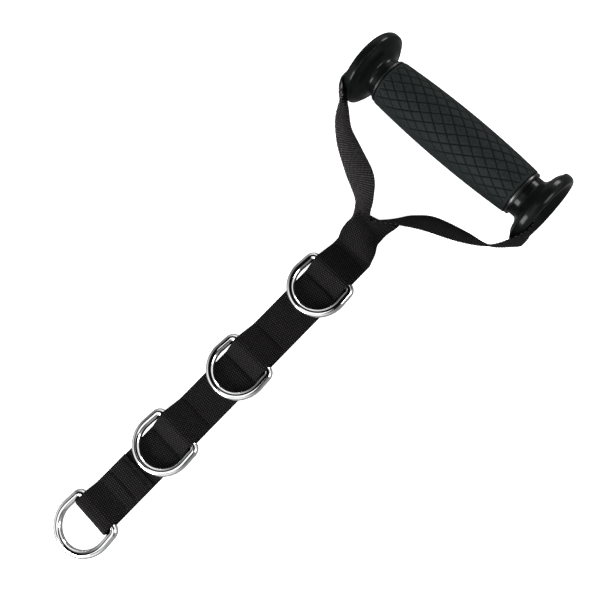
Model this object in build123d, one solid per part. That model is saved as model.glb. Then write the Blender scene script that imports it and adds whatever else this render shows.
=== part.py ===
from build123d import *
import os
from math import asin, atan2, cos, degrees, radians, sin, tan

# Pull handle on a sewn webbing strap with four D-rings. Millimetres, +Z up.
# It lies flat: +X runs along the strap towards the handle, and the handle's axis is along Y.
# Distances along the strap are measured from the bar of the end ring and turned into X by x_at.

# webbing
WEB_WIDTH = 30.0
WEB_THICK = 1.5
HALF_WEB = WEB_WIDTH / 2

# D-rings, all four alike; radii and distances are to the wire's centre line
WIRE_DIA = 6.0
RING_ARC = 19.1
RING_DEPTH = 13.3  # bar to the centre of the arc
RING_CORNER = 3.8
RING_TAPER = 4.0  # degrees that each arm leans in towards the bar
RING_REACH = RING_DEPTH + RING_ARC + WIRE_DIA / 2

# sewn tunnels that hold the bars
TUNNEL_RADIUS = 3.45  # inside, about the bar
PLY_RADIUS = TUNNEL_RADIUS + WEB_THICK / 2
RISE_ARC_SIDE = 36.0  # degrees
RISE_GRIP_SIDE = 26.0
PLY_BEND = 3.0
BAR_HEIGHT = WEB_THICK + TUNNEL_RADIUS
RING_GAP = 0.3

# stations along the strap, from the end ring's bar
BAR_3 = 75.5
BAR_2 = 146.2
BAR_1 = 224.2
FLEX_END = 39.0
FLEX_LOWER = 99.5
FLEX_UPPER = 174.2
FLEX_SLING = 242.8
FLEX_GAP = 1.0  # half of the bare length at a flex line
SLING_GAP = 1.2
GRIP_AXIS = 343.4

# loop round the end ring's bar
LOOP_END = -7.2
LOOP_CORNER = 4.1
TAIL_START = 13.0

# rows of stitching across the strap
STITCH_LENGTH = 27.0
STITCH_WIDTH = 1.2
STITCH_PROUD = 0.35
STITCH_ARC_SIDE = 12.6
STITCH_GRIP_SIDE = 16.6
END_STITCHES = (14.2, 23.4, 35.6)

# sling legs: where they part, and how far apart their middles lie up to there
CROTCH = 264.5
CROTCH_BLEND = 7.0
LEG_STEP = 1.8

# handle, as radii and as distances from its middle along Y
BORE_RADIUS = 12.4
CORE_RADIUS = 13.6
GRIP_HALF = 58.3
GRIP_END_RADIUS = 16.8
GRIP_MID_RADIUS = 18.9
GRIP_EDGE = 1.2
COLLAR_FROM = 58.9
COLLAR_TO = 60.2
COLLAR_RADIUS = 16.2
FLANGE_FROM = 60.8
FLANGE_RADIUS = 27.5
FLANGE_CREST = 79.5
NECK_RADIUS = 14.6

# webbing run through the handle, curled to the bore
CURL_RADIUS = 11.2
RUN_HALF = 66.0
LIP_HEADING = 42.0  # degrees, the way each leg meets its flange
LIP_CENTRE = (25.0, 77.0)  # radius and distance of the rim's rounding
LIP_RADIUS = 3.6

MIDDLE = (GRIP_AXIS + FLANGE_RADIUS - RING_REACH) / 2


def x_at(along):
    """X of a station measured along the strap from the end ring's bar."""
    return along - MIDDLE


def bent_path(points, radii):
    """A path in the XZ plane through (along, height) points, each inner corner rounded."""
    corners = [Vector(x_at(a), 0, h) for a, h in points]
    edges = []
    start = corners[0]
    for before, corner, after, radius in zip(corners, corners[1:], corners[2:], radii):
        back = (before - corner).normalized()
        ahead = (after - corner).normalized()
        half = radians(back.get_angle(ahead)) / 2
        reach = radius / tan(half)
        enter = corner + back * reach
        leave = corner + ahead * reach
        middle = corner + (back + ahead).normalized() * (radius / sin(half) - radius)
        edges.append(Edge.make_line(start, enter))
        edges.append(Edge.make_three_point_arc(enter, middle, leave))
        start = leave
    edges.append(Edge.make_line(start, corners[-1]))
    return Wire(edges)


def ply(points, radii=()):
    """A length of webbing whose middle follows a bent path."""
    path = bent_path(points, radii)
    plane = Plane(origin=path @ 0, x_dir=(0, 1, 0), z_dir=path % 0)
    return sweep(plane * Rectangle(WEB_WIDTH, WEB_THICK), path=path)


def tunnel(bar):
    """Path points of the front ply over a bar, and the radii of its bends."""
    low = 1.5 * WEB_THICK
    drop = BAR_HEIGHT - low
    rise, fall = radians(RISE_ARC_SIDE), radians(RISE_GRIP_SIDE)
    foot_arc = (PLY_RADIUS + drop * cos(rise)) / sin(rise)
    foot_grip = (PLY_RADIUS + drop * cos(fall)) / sin(fall)
    top = (foot_arc + foot_grip) / (1 / tan(rise) + 1 / tan(fall))
    peak = bar - foot_arc + top / tan(rise)
    points = [(bar - foot_arc, low), (peak, low + top), (bar + foot_grip, low)]
    return points, [PLY_BEND, PLY_RADIUS, PLY_BEND]


def front_ply(start, end, bar):
    """The front ply between two flex lines, over one bar."""
    points, radii = tunnel(bar)
    low = 1.5 * WEB_THICK
    return ply([(start, low)] + points + [(end, low)], radii)


def back_ply(start, end):
    """The flat back ply between two flex lines."""
    return ply([(start, WEB_THICK / 2), (end, WEB_THICK / 2)])


def stitches(stations, height):
    """Rows of thread across the strap, standing on the webbing."""
    rows = []
    for station in stations:
        row = Box(STITCH_WIDTH, STITCH_LENGTH, STITCH_PROUD)
        rows.append(Pos(x_at(station), 0, height + STITCH_PROUD / 2) * row)
    return Compound(children=rows)


def d_ring(bar, tilt):
    """A D-ring with its bar in a tunnel; a positive tilt raises the arc, in degrees."""
    lean = radians(RING_TAPER)
    bar_half = (RING_ARC - RING_CORNER - (RING_DEPTH - RING_CORNER) * sin(lean)) / cos(lean)

    def on_corner(angle, side):
        x = -RING_CORNER + RING_CORNER * cos(radians(angle))
        y = bar_half + RING_CORNER * sin(radians(angle))
        return Vector(x, side * y, 0)

    def on_arc(angle, side):
        x = -RING_DEPTH + RING_ARC * cos(radians(angle))
        y = RING_ARC * sin(radians(angle))
        return Vector(x, side * y, 0)

    turn = 90 - RING_TAPER
    edges = [
        Edge.make_line((0, 0, 0), (0, bar_half, 0)),
        Edge.make_three_point_arc(on_corner(0, 1), on_corner(turn / 2, 1), on_corner(turn, 1)),
        Edge.make_line(on_corner(turn, 1), on_arc(turn, 1)),
        Edge.make_three_point_arc(on_arc(turn, 1), on_arc(180, 1), on_arc(turn, -1)),
        Edge.make_line(on_arc(turn, -1), on_corner(turn, -1)),
        Edge.make_three_point_arc(on_corner(turn, -1), on_corner(turn / 2, -1), on_corner(0, -1)),
        Edge.make_line((0, -bar_half, 0), (0, 0, 0)),
    ]
    section = Plane(origin=(0, 0, 0), x_dir=(1, 0, 0), z_dir=(0, 1, 0)) * Circle(WIRE_DIA / 2)
    ring = sweep(section, path=Wire(edges))
    return Pos(x_at(bar), 0, BAR_HEIGHT) * Rot(0, tilt, 0) * ring


def blend_stations(stations, leave, steps):
    """Smooth stations through the given ones, as (place, direction, twist).

    The way starts along +X and ends in the direction leave, in the XY plane.
    """
    after, before = stations[1], stations[-2]
    reach = after[0] - stations[0][0]
    first = (after[0] - 2 * reach, *after[1:])
    last = (before[0] + 12 * leave[0], before[1] + 12 * leave[1], before[2], stations[-1][3])
    knots = [first, *stations, last]
    smooth = []
    for a, b, c, d in zip(knots, knots[1:], knots[2:], knots[3:]):
        for step in range(steps + 1 if d is last else steps):
            t = step / steps
            weights = (
                (-t + 2 * t * t - t**3) / 2,
                (2 - 5 * t * t + 3 * t**3) / 2,
                (t + 4 * t * t - 3 * t**3) / 2,
                (-t * t + t**3) / 2,
            )
            rates = (
                (-1 + 4 * t - 3 * t * t) / 2,
                (-10 * t + 9 * t * t) / 2,
                (1 + 8 * t - 9 * t * t) / 2,
                (-2 * t + 3 * t * t) / 2,
            )
            value = [sum(w * p[i] for w, p in zip(weights, (a, b, c, d))) for i in range(4)]
            rate = [sum(w * p[i] for w, p in zip(rates, (a, b, c, d))) for i in range(3)]
            place = Vector(x_at(value[0]), value[1], value[2])
            smooth.append((place, Vector(*rate).normalized(), value[3]))
    return smooth


def web_section(place, across, face, curl=0.0, steps=1):
    """Outline of the webbing's cross-section, flat or curled towards face."""
    sides = ([], [])
    for step in range(steps + 1):
        s = WEB_WIDTH * (step / steps - 0.5)
        if curl:
            middle = place + across * (sin(curl * s) / curl) + face * ((1 - cos(curl * s)) / curl)
        else:
            middle = place + across * s
        normal = face * cos(curl * s) - across * sin(curl * s)
        sides[0].append(middle + normal * (WEB_THICK / 2))
        sides[1].append(middle - normal * (WEB_THICK / 2))
    return Wire.make_polygon(sides[0] + sides[1][::-1], close=True)


def leg(stations, side):
    """A leg of the sling: flat webbing that twists as it goes.

    Up to the crotch the cross-sections stay square to X, so that the two legs lie face to face.
    """
    turn = radians(LIP_HEADING)
    leave = (cos(turn), side * sin(turn))
    sections = []
    for place, direction, twist in blend_stations(stations, leave, 3):
        freed = min(max((place.X - x_at(CROTCH)) / CROTCH_BLEND, 0), 1)
        direction = (Vector(1, 0, 0) * (1 - freed) + direction * freed).normalized()
        level = Vector(-direction.Y, direction.X, 0).normalized()
        upright = direction.cross(level)
        across = level * cos(radians(twist)) + upright * sin(radians(twist))
        sections.append(web_section(place, across, direction.cross(across)))
    return Solid.make_loft(sections, ruled=True)


def lifted(station):
    """The station of the ply that lies on the ply at the given station."""
    along, y, height, twist = station
    turn = radians(twist)
    return (along, y - LEG_STEP * sin(turn), height + LEG_STEP * cos(turn), twist)


def lip_stations():
    """The webbing's way over a flange and into the bore: (radius, distance, heading, curl)."""
    radius, distance = LIP_CENTRE
    stations = []
    for step in range(5):
        heading = LIP_HEADING * (1 - step / 4)
        turn = radians(heading)
        a = radius + LIP_RADIUS * sin(turn)
        y = distance + LIP_RADIUS * cos(turn)
        stations.append((a, y, heading, 0.0))
    top = distance + LIP_RADIUS
    pulls = ((22.0, top), (15.0, top), (CURL_RADIUS, 73.0), (CURL_RADIUS, RUN_HALF))
    for step in range(9):
        t = step / 8
        share = ((1 - t) ** 3, 3 * (1 - t) ** 2 * t, 3 * (1 - t) * t * t, t**3)
        rate = (-((1 - t) ** 2), (1 - t) * (1 - 3 * t), t * (2 - 3 * t), t * t)
        a, y = (sum(w * p[i] for w, p in zip(share, pulls)) for i in range(2))
        da, dy = (sum(w * p[i] for w, p in zip(rate, pulls)) for i in range(2))
        stations.append((a, y, degrees(atan2(dy, -da)), t * t / CURL_RADIUS))
    return stations


def sling_lip(side):
    """The webbing from the end of a leg, over the flange's rim, to the bore."""
    sections = []
    for a, y, heading, curl in lip_stations():
        turn = radians(heading)
        place = Vector(x_at(GRIP_AXIS) - a, side * y, FLANGE_RADIUS)
        face = Vector(-sin(turn), side * cos(turn), 0)
        sections.append(web_section(place, Vector(0, 0, 1), face, curl, 8))
    return Solid.make_loft(sections, ruled=True)


def sling_core_run():
    """The webbing inside the bore, curled about the handle's axis."""
    ends = []
    for y in (-RUN_HALF, RUN_HALF):
        place = Vector(x_at(GRIP_AXIS) - CURL_RADIUS, y, FLANGE_RADIUS)
        ends.append(web_section(place, Vector(0, 0, 1), Vector(1, 0, 0), 1 / CURL_RADIUS, 8))
    return Solid.make_loft(ends, ruled=True)


def turned(profile):
    """A solid turned about the handle's axis from a face drawn as (distance, radius)."""
    plane = Plane(origin=(x_at(GRIP_AXIS), 0, FLANGE_RADIUS), x_dir=(0, 1, 0), z_dir=(1, 0, 0))
    axis = Axis((x_at(GRIP_AXIS), 0, FLANGE_RADIUS), (0, 1, 0))
    return revolve(plane * profile, axis=axis)


def ring_of(y_from, y_to, inner, outer):
    """A plain tube about the handle's axis."""
    corners = [(y_from, inner), (y_to, inner), (y_to, outer), (y_from, outer)]
    return turned(make_face(Polyline(*corners, close=True)))


def grip_sleeve():
    """The barrel-shaped grip with rounded ends, over the core."""
    edge = GRIP_HALF - GRIP_EDGE
    barrel = Spline((-edge, GRIP_END_RADIUS), (0, GRIP_MID_RADIUS), (edge, GRIP_END_RADIUS))
    shoulder = GRIP_END_RADIUS - GRIP_EDGE
    near = Polyline((-edge, GRIP_END_RADIUS), (-GRIP_HALF, shoulder), (-GRIP_HALF, CORE_RADIUS))
    inside = Line((-GRIP_HALF, CORE_RADIUS), (GRIP_HALF, CORE_RADIUS))
    far = Polyline((GRIP_HALF, CORE_RADIUS), (GRIP_HALF, shoulder), (edge, GRIP_END_RADIUS))
    return turned(make_face([barrel, near, inside, far]))


def end_flange(side):
    """A bell-mouthed flange with a neck towards the grip."""
    neck_end = 64.6
    outside = Spline(
        (neck_end, NECK_RADIUS),
        (67.5, 16.4),
        (69.3, 20.0),
        (70.4, 23.4),
        (72.6, 26.4),
        (75.8, FLANGE_RADIUS),
        tangents=((1, 0), (1, 0)),
    )
    rim = Spline((75.8, FLANGE_RADIUS), (78.4, 26.6), (FLANGE_CREST, 24.6), tangents=((1, 0), (0, -1)))
    mouth = Spline(
        (FLANGE_CREST, 24.6),
        (78.2, 22.2),
        (74.0, 18.0),
        (69.6, 14.6),
        (64.0, BORE_RADIUS),
        tangents=((0, -1), (-1, 0)),
    )
    bore = Line((64.0, BORE_RADIUS), (FLANGE_FROM, BORE_RADIUS))
    root = Polyline((FLANGE_FROM, BORE_RADIUS), (FLANGE_FROM, 13.9), (61.6, NECK_RADIUS))
    neck = Line((61.6, NECK_RADIUS), (neck_end, NECK_RADIUS))
    flange = turned(make_face([outside, rim, mouth, bore, root, neck]))
    return flange if side > 0 else mirror(flange, about=Plane.XZ)


rest_tilt = degrees(asin((2 * WEB_THICK + RING_GAP + WIRE_DIA / 2 - BAR_HEIGHT) / (RING_DEPTH + RING_ARC)))
end_tilt = -degrees(asin((BAR_HEIGHT - WIRE_DIA / 2) / (RING_DEPTH + RING_ARC)))

# the end loop: along the back, round the bar and back on the front
fold_height = 2.5 * WEB_THICK
loop_top = WEB_THICK / 2 + 2 * LOOP_CORNER
fall = radians(RISE_GRIP_SIDE)
loop_peak = (PLY_RADIUS - cos(fall) * (loop_top - BAR_HEIGHT)) / sin(fall)
loop_foot = (PLY_RADIUS + cos(fall) * (BAR_HEIGHT - fold_height)) / sin(fall)
loop_points = [
    (FLEX_END - FLEX_GAP, WEB_THICK / 2),
    (LOOP_END, WEB_THICK / 2),
    (LOOP_END, loop_top),
    (loop_peak, loop_top),
    (loop_foot, fold_height),
    (FLEX_END - FLEX_GAP, fold_height),
]
loop_radii = [LOOP_CORNER - 0.02, LOOP_CORNER - 0.02, PLY_RADIUS, PLY_BEND]

# the legs of the sling: (along, across, height, twist in degrees)
handle_turn = radians(LIP_HEADING)
lip_along = GRIP_AXIS - LIP_CENTRE[0] - LIP_RADIUS * sin(handle_turn)
lip_across = LIP_CENTRE[1] + LIP_RADIUS * cos(handle_turn)
sling_start = FLEX_SLING + SLING_GAP
shared = [
    (sling_start, 0, 0.5 * WEB_THICK, 0),
    (249.0, 1.0, 5.3, 17),
    (254.0, 1.6, 9.3, 34),
    (259.0, 2.6, 12.0, 48.5),
]
left_leg = [
    *shared,
    (CROTCH, 7.4, 15.4, 62),
    (268.8, 13.0, 16.1, 76),
    (276.8, 20.9, 16.3, 64.5),
    (285.3, 32.0, 17.3, 52),
    (293.5, 48.9, 19.2, 58),
    (302.3, 63.9, 21.4, 72.5),
    (310.8, 73.7, 24.5, 85),
    (lip_along, lip_across, FLANGE_RADIUS, 90),
]
right_leg = [
    (sling_start, 0, 1.5 * WEB_THICK, 0),
    *[lifted(station) for station in shared[1:]],
    (CROTCH, 0.3, 13.4, 57),
    (270.7, -4.3, 17.6, 81.5),
    (274.4, -7.6, 21.5, 110.5),
    (280.8, -17.1, 27.0, 121.5),
    (287.9, -30.9, 31.4, 126),
    (296.2, -52.5, 30.6, 119.5),
    (304.3, -69.3, 28.6, 104),
    (lip_along, -lip_across, FLANGE_RADIUS, 90),
]

parts = {
    "core_tube": ring_of(-FLANGE_FROM, FLANGE_FROM, BORE_RADIUS, CORE_RADIUS),
    "grip_sleeve": grip_sleeve(),
    "collar_left": ring_of(COLLAR_FROM, COLLAR_TO, CORE_RADIUS, COLLAR_RADIUS),
    "collar_right": ring_of(-COLLAR_TO, -COLLAR_FROM, CORE_RADIUS, COLLAR_RADIUS),
    "end_flange_left": end_flange(1),
    "end_flange_right": end_flange(-1),
    "sling_core_run": sling_core_run(),
    "sling_lip_left": sling_lip(1),
    "sling_lip_right": sling_lip(-1),
    "sling_leg_left": leg(left_leg, 1),
    "sling_leg_right": leg(right_leg, -1),
    "front_ply_upper": front_ply(FLEX_UPPER + FLEX_GAP, FLEX_SLING - SLING_GAP, BAR_1),
    "back_ply_upper": back_ply(FLEX_UPPER + FLEX_GAP, FLEX_SLING - SLING_GAP),
    "front_ply_middle": front_ply(FLEX_LOWER + FLEX_GAP, FLEX_UPPER - FLEX_GAP, BAR_2),
    "back_ply_middle": back_ply(FLEX_LOWER + FLEX_GAP, FLEX_UPPER - FLEX_GAP),
    "front_ply_lower": front_ply(FLEX_END + FLEX_GAP, FLEX_LOWER - FLEX_GAP, BAR_3),
    "back_ply_lower": back_ply(FLEX_END + FLEX_GAP, FLEX_LOWER - FLEX_GAP),
    "end_loop": ply(loop_points, loop_radii),
    "front_ply_tail": ply([(TAIL_START, 1.5 * WEB_THICK), (FLEX_END - FLEX_GAP, 1.5 * WEB_THICK)]),
    "stitching_end": stitches(END_STITCHES, 3 * WEB_THICK),
    "d_ring_1": d_ring(BAR_1, rest_tilt),
    "d_ring_2": d_ring(BAR_2, rest_tilt),
    "d_ring_3": d_ring(BAR_3, rest_tilt),
    "d_ring_4": d_ring(0, end_tilt),
}
for zone, bar in (("upper", BAR_1), ("middle", BAR_2), ("lower", BAR_3)):
    rows = (bar - STITCH_ARC_SIDE, bar + STITCH_GRIP_SIDE)
    parts[f"stitching_{zone}"] = stitches(rows, 2 * WEB_THICK)

os.makedirs("parts", exist_ok=True)
for name, shape in parts.items():
    export_step(shape, f"parts/{name}.step")
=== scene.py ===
from math import cos, pi, radians, sin, tan

import bpy
import numpy as np
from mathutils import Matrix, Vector


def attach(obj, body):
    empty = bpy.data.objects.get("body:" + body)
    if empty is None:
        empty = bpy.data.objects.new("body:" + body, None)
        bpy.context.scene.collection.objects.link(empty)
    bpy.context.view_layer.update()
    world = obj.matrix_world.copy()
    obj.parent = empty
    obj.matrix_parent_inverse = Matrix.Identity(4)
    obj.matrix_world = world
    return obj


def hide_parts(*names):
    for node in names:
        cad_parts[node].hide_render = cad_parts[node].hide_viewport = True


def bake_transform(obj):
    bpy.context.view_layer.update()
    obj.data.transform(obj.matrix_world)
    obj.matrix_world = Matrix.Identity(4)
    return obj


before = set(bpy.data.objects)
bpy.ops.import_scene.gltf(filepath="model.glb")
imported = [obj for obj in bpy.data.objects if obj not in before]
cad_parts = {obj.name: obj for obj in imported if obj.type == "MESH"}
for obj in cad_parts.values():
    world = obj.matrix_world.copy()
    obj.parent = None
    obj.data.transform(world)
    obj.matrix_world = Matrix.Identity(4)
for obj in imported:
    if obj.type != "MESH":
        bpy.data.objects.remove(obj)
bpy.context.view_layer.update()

# A pull handle on a webbing sling, with a sewn strap and four D-rings.
# Lengths are in millimetres until MM turns them into metres.
# "along" is the distance from the end ring's bar towards the handle, which is X plus MIDDLE.
MM = 0.001
MIDDLE = 167.75
WEB_WIDTH = 30.0
WEB_THICK = 1.5

# the ring bars, and the lines where one body of the strap folds against the next
BARS = {"lower": 75.5, "middle": 146.2, "upper": 224.2}
BAR_HEIGHT = 4.95
FLEX_LINES = (39.0, 99.5, 174.2, 242.8)
WEB_CUTS = (60.0, 122.0, 196.0)
SLING_START = 244.0

GRIP_AXIS = 343.4
AXIS_HEIGHT = 27.5

# rows of stitching on each body, by their distance along
ROW_BEFORE_BAR = 12.6
ROW_AFTER_BAR = 16.6
STITCH_ROWS = {"strap_end": (14.2, 23.4, 35.6)}
for zone, bar in BARS.items():
    STITCH_ROWS[f"strap_{zone}"] = (bar - ROW_BEFORE_BAR, bar + ROW_AFTER_BAR)

# the weave: ribs across the webbing, and warp cords that step sideways from rib to rib
RIB_PITCH = 1.65
RIB_DEPTH = 0.3
CORD_PITCH = 1.5


def unit(v):
    v = np.asarray(v, float)
    return v / np.linalg.norm(v)


def smooth(t):
    t = np.clip(t, 0, 1)
    return t * t * (3 - 2 * t)


# ---------------------------------------------------------------- meshes

def add_mesh(name, points, faces, material):
    """A smooth mesh object from points in millimetres in the row frame."""
    mesh = bpy.data.meshes.new(name)
    mesh.from_pydata([tuple(p) for p in np.asarray(points, float) * MM], [], faces)
    mesh.validate()
    mesh.polygons.foreach_set("use_smooth", [True] * len(mesh.polygons))
    mesh.materials.append(material)
    mesh.update()
    made = bpy.data.objects.new(name, mesh)
    bpy.context.scene.collection.objects.link(made)
    return made


def add_attribute(made, name, values):
    """Gives every point of a mesh a number, or a vector where the values end in one."""
    values = np.asarray(values, np.float32)
    vector = values.ndim == 3
    layer = made.data.attributes.new(name, "FLOAT_VECTOR" if vector else "FLOAT", "POINT")
    layer.data.foreach_set("vector" if vector else "value", values.reshape(-1))


def tube_faces(rings, around):
    """Quads between rings of points, where each ring is closed."""
    faces = []
    for ring in range(rings - 1):
        here = ring * around
        beyond = here + around
        for k in range(around):
            after = (k + 1) % around
            faces.append((here + k, beyond + k, beyond + after, here + after))
    return faces


# ---------------------------------------------------------------- materials

NOISE_DETAIL = 4.0
# the painted shade in the gaps between the warp cords
GAP_FROM = -0.4
CORD_GAP_SHADE_TONE = 0.05
# how much paler the left leg is painted, as painted light for the light that falls on it
LEFT_LEG_LIGHT_TONE = 5.3
# the cords' gaps are mixed towards this black, as painted shade
BLACK = (0, 0, 0, 1)
# the painted shade in the rib hollows and the grip's grooves
PAINTED_HOLLOW_SHADE = (0.001, 0.001, 0.001, 1)


def wire(tree, kind, output, inputs, **settings):
    """Adds a shader node and gives one of its outputs; an input is a value or another node's output."""
    made = tree.nodes.new(f"ShaderNode{kind}")
    for key, value in settings.items():
        setattr(made, key, value)
    for key, value in inputs.items():
        if isinstance(value, bpy.types.NodeSocket):
            tree.links.new(value, made.inputs[key])
        else:
            made.inputs[key].default_value = value
    return made.outputs[output]


def new_material(name):
    """An empty principled material, its node tree and its shader's inputs."""
    made = bpy.data.materials.new(name)
    made.use_nodes = True
    return made, made.node_tree, made.node_tree.nodes["Principled BSDF"].inputs


def mottled(name, scale, low, high, rough, bump=None, metal=0.0, specular=0.5):
    """A material whose colour and roughness vary with noise; bump is its relief's strength and depth."""
    made, tree, shader = new_material(name)
    shader["Metallic"].default_value = metal
    shader["Specular IOR Level"].default_value = specular
    where = wire(tree, "TexCoord", "Object", {})
    noise = wire(tree, "TexNoise", "Fac", {"Vector": where, "Scale": scale, "Detail": NOISE_DETAIL})
    tint = wire(
        tree, "Mix", "Result", {"Factor": noise, "A": (*low, 1), "B": (*high, 1)}, data_type="RGBA"
    )
    tree.links.new(tint, shader["Base Color"])
    spread = wire(tree, "MapRange", "Result", {"Value": noise, "To Min": rough[0], "To Max": rough[1]})
    tree.links.new(spread, shader["Roughness"])
    if bump:
        strength, depth = bump
        relief = wire(tree, "Bump", "Normal", {"Height": noise, "Strength": strength, "Distance": depth})
        tree.links.new(relief, shader["Normal"])
    return made


def paint_light_on_left_leg(made):
    """Painted light: makes a material a paler black where a point attribute of its mesh is high,
    standing in for the light that falls on the back webbing's left leg.
    """
    tree = made.node_tree
    base = tree.nodes["Principled BSDF"].inputs["Base Color"]
    left_leg_light = wire(tree, "Attribute", "Fac", {}, attribute_name="left_leg_light")
    paler = wire(tree, "MapRange", "Result", {"Value": left_leg_light, "To Min": 1.0, "To Max": LEFT_LEG_LIGHT_TONE})
    colour = base.links[0].from_socket
    scaled = wire(tree, "VectorMath", "Vector", {0: colour, "Scale": paler}, operation="SCALE")
    tree.links.new(scaled, base)


def add_cords_with_gap_shade(made):
    """Draws the warp cords in a webbing material as a pattern, from its mesh's cloth attribute, with
    painted shade in the gaps between them.
    """
    tree = made.node_tree
    base = tree.nodes["Principled BSDF"].inputs["Base Color"]
    cloth = wire(tree, "Attribute", "Vector", {}, attribute_name="cloth")
    way, offset = (wire(tree, "SeparateXYZ", axis, {"Vector": cloth}) for axis in "XY")
    ribs = wire(tree, "Math", "Value", {0: way, 1: RIB_PITCH}, operation="DIVIDE")
    rib = wire(tree, "Math", "Value", {0: ribs}, operation="ROUND")
    shift = wire(tree, "Math", "Value", {0: rib, 1: pi}, operation="MULTIPLY")
    turns = {0: offset, 1: 2 * pi / CORD_PITCH, 2: shift}
    phase = wire(tree, "Math", "Value", turns, operation="MULTIPLY_ADD")
    wave = wire(tree, "Math", "Value", {0: phase}, operation="COSINE")
    tone = wire(tree, "MapRange", "Result", {"Value": wave, "From Min": GAP_FROM, "To Min": CORD_GAP_SHADE_TONE})
    mixed = {"Factor": tone, "A": BLACK, "B": base.links[0].from_socket}
    tree.links.new(wire(tree, "Mix", "Result", mixed, data_type="RGBA"), base)


def paint_shade_in_hollows(made, strength):
    """Painted shade: makes a material darker where its mesh's hollow attribute is high, for the shade in
    the webbing's rib hollows and the grip's grooves.
    """
    tree = made.node_tree
    base = tree.nodes["Principled BSDF"].inputs["Base Color"]
    hollow = wire(tree, "Attribute", "Fac", {}, attribute_name="hollow")
    amount = wire(tree, "Math", "Value", {0: hollow, 1: strength}, operation="MULTIPLY", use_clamp=True)
    mixed = {"Factor": amount, "A": base.links[0].from_socket, "B": PAINTED_HOLLOW_SHADE}
    tree.links.new(wire(tree, "Mix", "Result", mixed, data_type="RGBA"), base)


webbing_black = mottled(
    "webbing_black", 700, (0.004, 0.0037, 0.004), (0.076, 0.072, 0.073),
    rough=(0.45, 0.7), bump=(0.35, 0.0003), specular=0.02,
)
# painted light: the back webbing's left leg a paler black
paint_light_on_left_leg(webbing_black)
# painted shade in the gaps between the warp cords
add_cords_with_gap_shade(webbing_black)
# painted shade in the hollows between the ribs
paint_shade_in_hollows(webbing_black, 0.95)

grip_rubber = mottled(
    "grip_rubber", 1000, (0.002, 0.0035, 0.0035), (0.026, 0.0325, 0.0315),
    rough=(0.42, 0.66), bump=(0.6, 0.0005), specular=0.05,
)
# painted shade in the grip's grooves
paint_shade_in_hollows(grip_rubber, 1.0)

thread_black = mottled(
    "thread_black", 2500, (0.001, 0.001, 0.001), (0.006, 0.0055, 0.0055),
    rough=(0.6, 0.8), specular=0.05,
)
core_black = mottled(
    "core_black", 300, (0.007, 0.007, 0.007), (0.012, 0.012, 0.012), rough=(0.45, 0.6)
)
collar_black = mottled(
    "collar_black", 300, (0.005, 0.005, 0.005), (0.01, 0.01, 0.01), rough=(0.25, 0.4)
)
flange_black = mottled(
    "flange_black", 120, (0.003, 0.0035, 0.0035), (0.006, 0.0065, 0.0065),
    rough=(0.13, 0.2), bump=(0.04, 0.0001), specular=0.11,
)
chrome = mottled(
    "chrome", 160, (0.86, 0.87, 0.88), (0.93, 0.93, 0.94), rough=(0.03, 0.09), metal=1.0
)

# ---------------------------------------------------------------- path of the strap

TUNNEL_PLY = 4.2
PLY_BEND = 3.0
RISE_ARC_SIDE = radians(36)
RISE_GRIP_SIDE = radians(26)
BACK_HEIGHT = 0.5 * WEB_THICK
FRONT_HEIGHT = 1.5 * WEB_THICK
FOLD_HEIGHT = 2.5 * WEB_THICK
TAIL_START = 13.0
LOOP_CUT = 38.0
LOOP_END = -7.2
LOOP_CORNER = 4.1
CORNER_SLACK = 0.02
BEND_STEPS = 12


def rounded_path(points, radii):
    """Dense points along a path through (along, height) points with rounded corners."""
    corners = [np.array(p, float) for p in points]
    dense = [corners[0]]
    for before, corner, after, radius in zip(corners, corners[1:], corners[2:], radii):
        back = unit(before - corner)
        ahead = unit(after - corner)
        half = np.arccos(np.clip(back @ ahead, -1, 1)) / 2
        reach = radius / tan(half)
        centre = corner + unit(back + ahead) * radius / sin(half)
        first = corner + back * reach - centre
        last = corner + ahead * reach - centre
        sweep = np.arctan2(first[0] * last[1] - first[1] * last[0], first @ last)
        for step in range(BEND_STEPS + 1):
            turn = sweep * step / BEND_STEPS
            spin = np.array(((cos(turn), -sin(turn)), (sin(turn), cos(turn))))
            dense.append(centre + spin @ first)
    dense.append(corners[-1])
    return dense


def flat_frames(points, radii):
    """Frames (place, across, face, curl, bow) of webbing that follows a path in the XZ plane."""
    dense = rounded_path(points, radii)
    across = np.array((0.0, 1.0, 0.0))
    frames = []
    for i, (along, height) in enumerate(dense):
        ahead = dense[min(i + 1, len(dense) - 1)] - dense[max(i - 1, 0)]
        direction = unit((ahead[0], 0, ahead[1]))
        place = np.array((along - MIDDLE, 0, height))
        frames.append((place, across, np.cross(direction, across), 0.0, 0.0))
    return frames


def tunnel(bar):
    """Path points over a bar, and the radii of its bends."""
    drop = BAR_HEIGHT - FRONT_HEIGHT
    foot_arc = (TUNNEL_PLY + drop * cos(RISE_ARC_SIDE)) / sin(RISE_ARC_SIDE)
    foot_grip = (TUNNEL_PLY + drop * cos(RISE_GRIP_SIDE)) / sin(RISE_GRIP_SIDE)
    top = (foot_arc + foot_grip) / (1 / tan(RISE_ARC_SIDE) + 1 / tan(RISE_GRIP_SIDE))
    peak = (bar - foot_arc + top / tan(RISE_ARC_SIDE), FRONT_HEIGHT + top)
    points = [(bar - foot_arc, FRONT_HEIGHT), peak, (bar + foot_grip, FRONT_HEIGHT)]
    return points, [PLY_BEND, TUNNEL_PLY, PLY_BEND]


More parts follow.
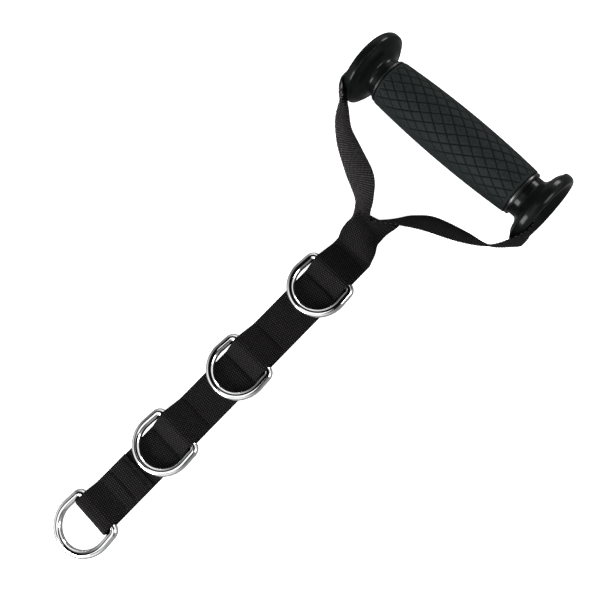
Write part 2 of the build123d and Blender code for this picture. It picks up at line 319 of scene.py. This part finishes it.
def back_path():
    """The back ply: from the loop's cut end on the front, round the end bar and along the back."""
    top = BACK_HEIGHT + 2 * LOOP_CORNER
    peak = (TUNNEL_PLY - cos(RISE_GRIP_SIDE) * (top - BAR_HEIGHT)) / sin(RISE_GRIP_SIDE)
    foot = (TUNNEL_PLY + cos(RISE_GRIP_SIDE) * (BAR_HEIGHT - FOLD_HEIGHT)) / sin(RISE_GRIP_SIDE)
    points = [
        (LOOP_CUT, FOLD_HEIGHT),
        (foot, FOLD_HEIGHT),
        (peak, top),
        (LOOP_END, top),
        (LOOP_END, BACK_HEIGHT),
        (SLING_START, BACK_HEIGHT),
    ]
    return points, [PLY_BEND, TUNNEL_PLY, LOOP_CORNER - CORNER_SLACK, LOOP_CORNER - CORNER_SLACK]


def front_path():
    """The front ply: up and over every bar on its way."""
    points, radii = [(TAIL_START, FRONT_HEIGHT)], []
    for bar in BARS.values():
        over, bends = tunnel(bar)
        points += over
        radii += bends
    return [*points, (SLING_START, FRONT_HEIGHT)], radii


# ---------------------------------------------------------------- path of the sling

CROTCH = 264.5
CROTCH_BLEND = 7.0
LEG_PITCH = 1.8
LEG_STEPS = 10
LIP_HEADING = 42.0
LIP_LEAVE = 12
LIP_CENTRE = (25.0, 77.0)
LIP_RADIUS = 3.6
LIP_END = 22.0
LIP_PULL = 15.0
CURL_RADIUS = 11.2
CURL_PULL = 73.0
CURL_STEPS = 24
RUN_HALF = 66.0
BOW_START = 300.0
BOW_RADIUS = 28.6
BOW_GONE = 0.8
LIP_ALONG = GRIP_AXIS - LIP_CENTRE[0] - LIP_RADIUS * sin(radians(LIP_HEADING))
LIP_ACROSS = LIP_CENTRE[1] + LIP_RADIUS * cos(radians(LIP_HEADING))


def lifted(station):
    """The station of the ply that lies on the ply at the given station."""
    along, y, height, twist = station
    turn = radians(twist)
    return (along, y - LEG_PITCH * sin(turn), height + LEG_PITCH * cos(turn), twist)


# the legs as (along, across, height, twist in degrees)
SHARED = [
    (SLING_START, 0, BACK_HEIGHT, 0),
    (249.0, 1.0, 5.3, 17),
    (254.0, 1.6, 9.3, 34),
    (259.0, 2.6, 12.0, 48.5),
]
LEFT_LEG = [
    *SHARED,
    (CROTCH, 7.4, 15.4, 62),
    (268.8, 13.0, 16.1, 76),
    (276.8, 20.9, 16.3, 64.5),
    (285.3, 32.0, 17.3, 52),
    (293.5, 48.9, 19.2, 58),
    (302.3, 63.9, 21.4, 72.5),
    (310.8, 73.7, 24.5, 85),
    (LIP_ALONG, LIP_ACROSS, AXIS_HEIGHT, 90),
]
RIGHT_LEG = [
    (SLING_START, 0, FRONT_HEIGHT, 0),
    *[lifted(station) for station in SHARED[1:]],
    (CROTCH, 0.3, 13.4, 57),
    (270.7, -4.3, 17.6, 81.5),
    (274.4, -7.6, 21.5, 110.5),
    (280.8, -17.1, 27.0, 121.5),
    (287.9, -30.9, 31.4, 126),
    (296.2, -52.5, 30.6, 119.5),
    (304.3, -69.3, 28.6, 104),
    (LIP_ALONG, -LIP_ACROSS, AXIS_HEIGHT, 90),
]


def curve_through(a, b, c, d, t):
    """The value and rate at t on the smooth curve from b to c, with a before it and d after it."""
    line = c - a
    square = 2 * a - 5 * b + 4 * c - d
    cube = 3 * b - a - 3 * c + d
    value = (2 * b + line * t + square * t * t + cube * t**3) / 2
    rate = (line + 2 * square * t + 3 * cube * t * t) / 2
    return value, rate


def leg_frames(stations, side):
    """Frames of a leg: webbing that twists as it goes from the strap to its flange."""
    turn = radians(LIP_HEADING)
    leave = (LIP_LEAVE * cos(turn), side * LIP_LEAVE * sin(turn))
    after, before = stations[1], stations[-2]
    reach = after[0] - stations[0][0]
    first = (after[0] - 2 * reach, *after[1:])
    last = (before[0] + leave[0], before[1] + leave[1], before[2], stations[-1][3])
    knots = [np.array(k, float) for k in (first, *stations, last)]
    frames = []
    for a, b, c, d in zip(knots, knots[1:], knots[2:], knots[3:]):
        for step in range(LEG_STEPS):
            (along, y, height, twist), rate = curve_through(a, b, c, d, step / LEG_STEPS)
            freed = min(max((along - CROTCH) / CROTCH_BLEND, 0), 1)
            direction = unit(np.array((1.0, 0, 0)) * (1 - freed) + unit(rate[:3]) * freed)
            level = unit((-direction[1], direction[0], 0))
            upright = np.cross(direction, level)
            across = level * cos(radians(twist)) + upright * sin(radians(twist))
            place = np.array((along - MIDDLE, y, height))
            bow = smooth((along - BOW_START) / (LIP_ALONG - BOW_START))
            frames.append((place, across, np.cross(direction, across), 0.0, bow))
    return frames


def lip_stations():
    """Stations (distance from the axis, distance from the middle, heading, curl, bow) over a rim."""
    radius, distance = LIP_CENTRE
    stations = []
    for step in range(BEND_STEPS + 1):
        heading = radians(LIP_HEADING) * (1 - step / BEND_STEPS)
        away = radius + LIP_RADIUS * sin(heading)
        stations.append((away, distance + LIP_RADIUS * cos(heading), heading, 0.0, 1.0))
    top = distance + LIP_RADIUS
    pulls = ((LIP_END, top), (LIP_PULL, top), (CURL_RADIUS, CURL_PULL), (CURL_RADIUS, RUN_HALF))
    for step in range(CURL_STEPS + 1):
        t = step / CURL_STEPS
        share = ((1 - t) ** 3, 3 * (1 - t) ** 2 * t, 3 * (1 - t) * t * t, t**3)
        rate = (-((1 - t) ** 2), (1 - t) * (1 - 3 * t), t * (2 - 3 * t), t * t)
        away, y = share @ np.array(pulls)
        away_rate, y_rate = rate @ np.array(pulls)
        heading = np.arctan2(y_rate, -away_rate)
        stations.append((away, y, heading, t * t / CURL_RADIUS, 1 - smooth(t / BOW_GONE)))
    for y in (RUN_HALF - 1, RUN_HALF / 2, 0.0):
        stations.append((CURL_RADIUS, y, -pi / 2, 1 / CURL_RADIUS, 0.0))
    return stations


def lip_frames(side):
    """Frames of the webbing over a flange's rim, into the bore and on to the handle's middle."""
    across = np.array((0.0, 0.0, 1.0))
    frames = []
    for away, y, heading, curl, bow in lip_stations():
        place = np.array((GRIP_AXIS - away - MIDDLE, side * y, AXIS_HEIGHT))
        face = np.array((side * sin(heading), -cos(heading), 0))
        frames.append((place, across, face, -side * curl, bow))
    return frames


# ---------------------------------------------------------------- webbing

ROW_STEP = 0.4
LEAST_STEP = 0.02
COLUMNS = 38
SELVEDGE = 0.9
SELVEDGE_THIN = 0.35
SELVEDGE_NUB = 0.012
STITCH_DIP = 0.45
STITCH_SPREAD = 0.8
# where the painted light on the back webbing's left leg ramps in, by distance along
LEFT_LEG_LIGHT_START = 250.0
LEFT_LEG_LIGHT_END = 275.0
LEAST_CURL = 1e-6


def even_frames(frames):
    """The frames at every ROW_STEP, as arrays: places, across, faces, curls, bows and the way so far."""
    kept = [frames[0]]
    for candidate in frames[1:]:
        if np.linalg.norm(candidate[0] - kept[-1][0]) > LEAST_STEP:
            kept.append(candidate)
    places, across, faces, curls, bows = (np.array(values) for values in zip(*kept))
    way = np.concatenate(([0], np.cumsum(np.linalg.norm(np.diff(places, axis=0), axis=1))))
    steps = np.linspace(0, way[-1], int(way[-1] / ROW_STEP) + 1)

    def at(values):
        return np.stack([np.interp(steps, way, values[:, i]) for i in range(3)], 1)

    across, faces = at(across), at(faces)
    across /= np.linalg.norm(across, axis=1)[:, None]
    faces -= across * (faces * across).sum(1)[:, None]
    faces /= np.linalg.norm(faces, axis=1)[:, None]
    return at(places), across, faces, np.interp(steps, way, curls), np.interp(steps, way, bows), steps


def dip_at(along):
    """How far the webbing is drawn in by the rows of stitching."""
    rows = [row for body_rows in STITCH_ROWS.values() for row in body_rows]
    dips = [np.exp(-(((along - row) / STITCH_SPREAD) ** 2)) for row in rows]
    return np.where(along < SLING_START - 1, STITCH_DIP * np.max(dips, axis=0), 0)


def both_sides(face, back):
    """A row's values along the face, and then back along the other side."""
    return np.concatenate((face, back[:, ::-1]), axis=1)


def ribbon_points(rows, sewn_side):
    """Points round the webbing at each row, face first, and how far each is off its middle."""
    places, across, faces, curls, bows, way = rows
    span = np.linspace(-1, 1, COLUMNS)
    rib = np.abs(np.cos(pi * way / RIB_PITCH))[:, None]
    offset = WEB_WIDTH / 2 * span * (1 - SELVEDGE_NUB * (1 - rib))
    body = smooth((1 - np.abs(span)) * WEB_WIDTH / 2 / SELVEDGE)
    half = WEB_THICK / 2 * (SELVEDGE_THIN + (1 - SELVEDGE_THIN) * body) - RIB_DEPTH * (1 - rib) * body
    dip = dip_at(places[:, 0] + MIDDLE)[:, None] * body
    bend = np.where(np.abs(curls) < LEAST_CURL, LEAST_CURL, curls)[:, None]
    angle = (bend * offset)[..., None]
    sideways = across[:, None] * np.sin(angle) / bend[..., None]
    outward = faces[:, None] * (1 - np.cos(angle)) / bend[..., None]
    middle = places[:, None] + sideways + outward
    middle[..., 0] += bows[:, None] * (BOW_RADIUS - np.sqrt(BOW_RADIUS**2 - offset**2))
    normal = faces[:, None] * np.cos(angle) - across[:, None] * np.sin(angle)
    upper = half - (dip if sewn_side > 0 else 0)
    lower = half - (dip if sewn_side < 0 else 0)
    top = middle + normal * upper[..., None]
    low = middle - normal * lower[..., None]
    return both_sides(top, low), both_sides(offset, offset)


def ribbon(name, rows, sewn_side, lit_left_leg):
    """Woven webbing over some of a length's rows: cross ribs, warp cords and a nubbly selvedge.

    sewn_side is 1 where the rows of stitching draw the face in, -1 where they draw the other side in.
    The last argument is 1 where the length's far end, from the left leg on, is painted a paler black as
    painted light, and 0 where it isn't.
    """
    points, offset = ribbon_points(rows, sewn_side)
    count, around = offset.shape
    faces = tube_faces(count, around)
    for row in (0, count - 1):
        first = row * around
        last = first + around - 1
        for k in range(COLUMNS - 1):
            quad = (first + k, first + k + 1, last - 1 - k, last - k)
            faces.append(quad[::-1] if row else quad)
    made = add_mesh(name, points.reshape(-1, 3), faces, webbing_black)
    along = rows[0][:, :1] + MIDDLE + 0 * offset
    way = rows[-1][:, None] + 0 * offset
    # painted shade: how deep each point sits in the hollow between ribs
    add_attribute(made, "hollow", np.sin(pi * way / RIB_PITCH) ** 2)
    # painted light: a paler black from the left leg on
    add_attribute(made, "left_leg_light", lit_left_leg * smooth((along - LEFT_LEG_LIGHT_START) / (LEFT_LEG_LIGHT_END - LEFT_LEG_LIGHT_START)))
    add_attribute(made, "cloth", np.stack((way, offset, 0 * offset), -1))
    return made


def lay_webbing(name, frames, nodes, sewn_side, lit_left_leg):
    """One length of webbing, as four pieces split at the web cuts, each hiding the CAD nodes that it
    covers.
    """
    rows = even_frames(frames)
    along = rows[0][:, 0] + MIDDLE
    ends = [*(int(np.argmax(along > cut)) for cut in WEB_CUTS), len(along) - 1]
    for i, (start, end, flex) in enumerate(zip([0, *ends], ends, FLEX_LINES)):
        piece = ribbon(f"{name}_{i + 1}", [values[start:end + 1] for values in rows], sewn_side, lit_left_leg)
        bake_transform(piece)
        covered = nodes[i:] if end == ends[-1] else nodes[i:i + 2]
        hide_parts(*covered)


lay_webbing(
    "back_webbing", flat_frames(*back_path()) + leg_frames(LEFT_LEG, 1) + lip_frames(1),
    nodes=(
        "end_loop", "back_ply_lower", "back_ply_middle", "back_ply_upper",
        "sling_leg_left", "sling_lip_left", "sling_core_run",
    ),
    # the back webbing's left leg gets painted light
    sewn_side=-1, lit_left_leg=1,
)
lay_webbing(
    "front_webbing", flat_frames(*front_path()) + leg_frames(RIGHT_LEG, -1) + lip_frames(-1),
    nodes=(
        "front_ply_tail", "front_ply_lower", "front_ply_middle", "front_ply_upper",
        "sling_leg_right", "sling_lip_right", "sling_core_run",
    ),
    sewn_side=1, lit_left_leg=0,
)

# ---------------------------------------------------------------- stitching

STITCH = 2.5
STITCH_GAP = 0.6
STITCH_WIDTH = 27.0
STITCH_RINGS = 7
STITCH_SIDES = 8
STITCH_SINK = 0.22
STITCH_ARCH = 0.2
THREAD_RADIUS = 0.3
THREAD_TIP = 0.45


def stitch(along, across, height):
    """Points and faces of one stitch, which arches out of the webbing and back into it."""
    points = []
    for ring in range(STITCH_RINGS):
        t = ring / (STITCH_RINGS - 1)
        y = across + (t - 0.5) * STITCH
        arch = sin(pi * t)
        radius = THREAD_RADIUS * (THREAD_TIP + (1 - THREAD_TIP) * arch**0.5)
        middle = height + STITCH_ARCH * arch
        for side in range(STITCH_SIDES):
            turn = 2 * pi * side / STITCH_SIDES
            points.append((along - MIDDLE + radius * cos(turn), y, middle + radius * sin(turn)))
    faces = [face[::-1] for face in tube_faces(STITCH_RINGS, STITCH_SIDES)]
    faces.append(tuple(range(STITCH_SIDES)))
    faces.append(tuple(reversed(range(len(points) - STITCH_SIDES, len(points)))))
    return points, faces


def sew(body, rows):
    """The rows of stitching on one body of the strap."""
    zone = body.replace("strap_", "")
    plies = 3 if zone == "end" else 2
    height = plies * WEB_THICK - STITCH_SINK
    pitch = STITCH + STITCH_GAP
    count = int(STITCH_WIDTH / pitch)
    points, faces = [], []
    for row in rows:
        for k in range(count):
            more, quads = stitch(row, (k - (count - 1) / 2) * pitch, height)
            faces += [tuple(len(points) + v for v in face) for face in quads]
            points += more
    made = add_mesh(f"stitches_{zone}", points, faces, thread_black)
    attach(made, body)
    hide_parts(f"stitching_{zone}")


for body, rows in STITCH_ROWS.items():
    sew(body, rows)

# ---------------------------------------------------------------- grip

GRIP_HALF = 58.3
GRIP_END_RADIUS = 16.8
GRIP_MID_RADIUS = 18.9
GRIP_EDGE = 1.2
CORE_RADIUS = 13.6
DIAMOND_AXIAL = 11.55
DIAMONDS_ROUND = 16
GROOVE_HALF = 0.38
GROOVE_DEPTH = 0.55
GROOVE_MARGIN = 1.5
SMOOTH_SIDE = radians(192)
SMOOTH_HALF = 22
SMOOTH_EDGE = 18
GRIP_ROWS = 300
GRIP_COLUMNS = 330


def groove_lattice(y, turn):
    """Grooves in a diamond lattice, from 0 to 1, left off near the ends and on the smooth side."""
    around = DIAMONDS_ROUND * turn / (2 * pi)
    spacing = 2 * pi * GRIP_MID_RADIUS / DIAMONDS_ROUND
    upright = 1 / np.hypot(1 / spacing, 1 / DIAMOND_AXIAL)
    lines = []
    for side in (1, -1):
        phase = around + side * y / DIAMOND_AXIAL
        away = np.abs(phase - np.round(phase)) * upright
        lines.append(np.exp(-((away / GROOVE_HALF) ** 2)))
    off_ends = smooth(GRIP_HALF - GROOVE_MARGIN - np.abs(y))
    from_smooth_side = np.degrees(np.abs((turn - SMOOTH_SIDE + pi) % (2 * pi) - pi))
    off_side = smooth((from_smooth_side - SMOOTH_HALF) / SMOOTH_EDGE)
    return np.maximum(*lines) * off_ends * off_side


def grip_mesh():
    """Points, faces and groove of a barrel-shaped sleeve with a lattice of grooves cut into it."""
    y = np.linspace(-GRIP_HALF, GRIP_HALF, GRIP_ROWS)[:, None]
    turn = np.linspace(0, 2 * pi, GRIP_COLUMNS, endpoint=False)[None, :]
    barrel = GRIP_MID_RADIUS - (GRIP_MID_RADIUS - GRIP_END_RADIUS) * (y / (GRIP_HALF - GRIP_EDGE)) ** 2
    rounding = np.clip((np.abs(y) - (GRIP_HALF - GRIP_EDGE)) / GRIP_EDGE, 0, 1)
    barrel = barrel - GRIP_EDGE * (1 - np.sqrt(1 - rounding**2))
    groove = groove_lattice(y, turn)
    # the outside from end to end, then the bore's two ends
    y = np.concatenate((y, ((GRIP_HALF,), (-GRIP_HALF,))))
    bore = np.full((2, GRIP_COLUMNS), CORE_RADIUS)
    radius = np.concatenate((barrel - GROOVE_DEPTH * groove, bore))
    x = GRIP_AXIS - MIDDLE + radius * np.cos(turn)
    z = AXIS_HEIGHT + radius * np.sin(turn)
    points = np.stack((x, y + 0 * x, z), -1)
    faces = tube_faces(GRIP_ROWS + 2, GRIP_COLUMNS)
    last = (GRIP_ROWS + 1) * GRIP_COLUMNS
    for k in range(GRIP_COLUMNS):
        after = (k + 1) % GRIP_COLUMNS
        faces.append((last + k, k, after, last + after))
    return points.reshape(-1, 3), faces, np.concatenate((groove, 0 * bore))


grip_points, grip_faces, grip_groove = grip_mesh()
grip = add_mesh("grip", grip_points, grip_faces, grip_rubber)
# painted shade: the grooves' depth darkens the grip
add_attribute(grip, "hollow", grip_groove)
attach(grip, "handle")
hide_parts("grip_sleeve")

# ---------------------------------------------------------------- CAD pieces that show

FINISHES = {
    "core_tube": core_black,
    "collar_left": collar_black,
    "collar_right": collar_black,
    "end_flange_left": flange_black,
    "end_flange_right": flange_black,
    "d_ring_1": chrome,
    "d_ring_2": chrome,
    "d_ring_3": chrome,
    "d_ring_4": chrome,
}
for node, finish in FINISHES.items():
    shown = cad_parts[node]
    shown.data.materials.clear()
    shown.data.materials.append(finish)

# ---------------------------------------------------------------- stage and light, in metres

FLOOR_SIZE = 8
FLOOR_DROP = 0.0002
FLOOR_WHITE = 0.9
FLOOR_IN_BOUNCES = 0.12
GLOW_IN_BOUNCES = 0.08

# the studio's brightness by the upward part of its direction, from the horizon to straight up,
# and how that scales with the part along X
SKY = ((0.0, 0.3), (0.1, 0.85), (0.5, 0.9), (0.7, 0.6), (0.79, 0.02), (1.0, 0.004))
SIDES_LEAST = 0.2
SIDES_MOST = 1.2
SIDES_FULL = 0.8

# each lamp's name, place, target, side and power in watts
LAMPS = (
    ("strap_side", (-0.78, 0.05, 0.42), (0.12, 0, 0.02), 0.45, 11),
    ("grip_side", (1.05, 0.14, 0.38), (0.18, 0, 0.02), 0.3, 4),
    ("right_side", (0.45, -0.75, 0.5), (0.12, 0, 0.02), 0.4, 4),
    ("overhead", (-0.35, -0.15, 0.95), (0.05, 0, 0), 0.7, 2),
)


def grey(level):
    return (level, level, level, 1)


def add_floor():
    """A pale floor, which is white to look at and dimmer in reflections."""
    made, tree, shader = new_material("floor_white")
    shader["Roughness"].default_value = 0.9
    shader["Emission Color"].default_value = grey(1)
    seen = wire(tree, "LightPath", "Is Camera Ray", {})
    glows = {"Value": seen, "To Min": GLOW_IN_BOUNCES, "To Max": FLOOR_WHITE}
    glow = wire(tree, "MapRange", "Result", glows)
    mixed = {"Factor": seen, "A": grey(FLOOR_IN_BOUNCES), "B": grey(FLOOR_WHITE)}
    tree.links.new(glow, shader["Emission Strength"])
    tree.links.new(wire(tree, "Mix", "Result", mixed, data_type="RGBA"), shader["Base Color"])
    bpy.ops.mesh.primitive_plane_add(size=FLOOR_SIZE, location=(0, 0, -FLOOR_DROP))
    floor = bpy.context.object
    floor.name = "floor"
    floor.data.materials.append(made)


def add_sky():
    """A studio that is brightest along X, behind a white backdrop."""
    world = bpy.data.worlds.new("studio")
    bpy.context.scene.world = world
    world.use_nodes = True
    tree = world.node_tree
    where = wire(tree, "TexCoord", "Generated", {})
    x, z = (wire(tree, "SeparateXYZ", axis, {"Vector": where}) for axis in "XZ")
    colour = wire(tree, "ValToRGB", "Color", {"Fac": z})
    stops = colour.node.color_ramp.elements
    for position, level in SKY[1:-1]:
        stops.new(position)
    for stop, (position, level) in zip(stops, SKY):
        stop.position = position
        stop.color = grey(level)
    sideways = wire(tree, "Math", "Value", {0: x}, operation="ABSOLUTE")
    spread = {"Value": sideways, "From Max": SIDES_FULL, "To Min": SIDES_LEAST, "To Max": SIDES_MOST}
    strength = wire(tree, "MapRange", "Result", spread, interpolation_type="SMOOTHSTEP")
    background = tree.nodes["Background"]
    tree.links.new(colour, background.inputs["Color"])
    tree.links.new(strength, background.inputs["Strength"])
    backdrop = wire(tree, "Background", "Background", {"Color": grey(1)})
    seen = wire(tree, "LightPath", "Is Camera Ray", {})
    either = {0: seen, 1: background.outputs["Background"], 2: backdrop}
    shown = wire(tree, "MixShader", "Shader", either)
    tree.links.new(shown, tree.nodes["World Output"].inputs["Surface"])


def add_lamp(name, place, target, side, power):
    """A square softbox aimed at a target."""
    lamp = bpy.data.lights.new(name, "AREA")
    lamp.shape = "SQUARE"
    lamp.size = side
    lamp.energy = power
    made = bpy.data.objects.new(name, lamp)
    bpy.context.scene.collection.objects.link(made)
    made.location = place
    aim = Vector(target) - Vector(place)
    made.rotation_euler = aim.to_track_quat("-Z", "Y").to_euler()


add_floor()
add_sky()
for lamp in LAMPS:
    add_lamp(*lamp)

# ---------------------------------------------------------------- camera

camera_data = bpy.data.cameras.new("camera")
camera_data.lens = 54.0
camera_data.sensor_width = 36.0
camera = bpy.data.objects.new("camera", camera_data)
bpy.context.scene.collection.objects.link(camera)
camera.location = (-0.00307, -0.15607, 0.59540)
camera.rotation_euler = (0.2207, 0.1517, -0.7838)
bpy.context.scene.camera = camera

view = bpy.context.scene.view_settings
view.view_transform = "Standard"
view.look = "None"
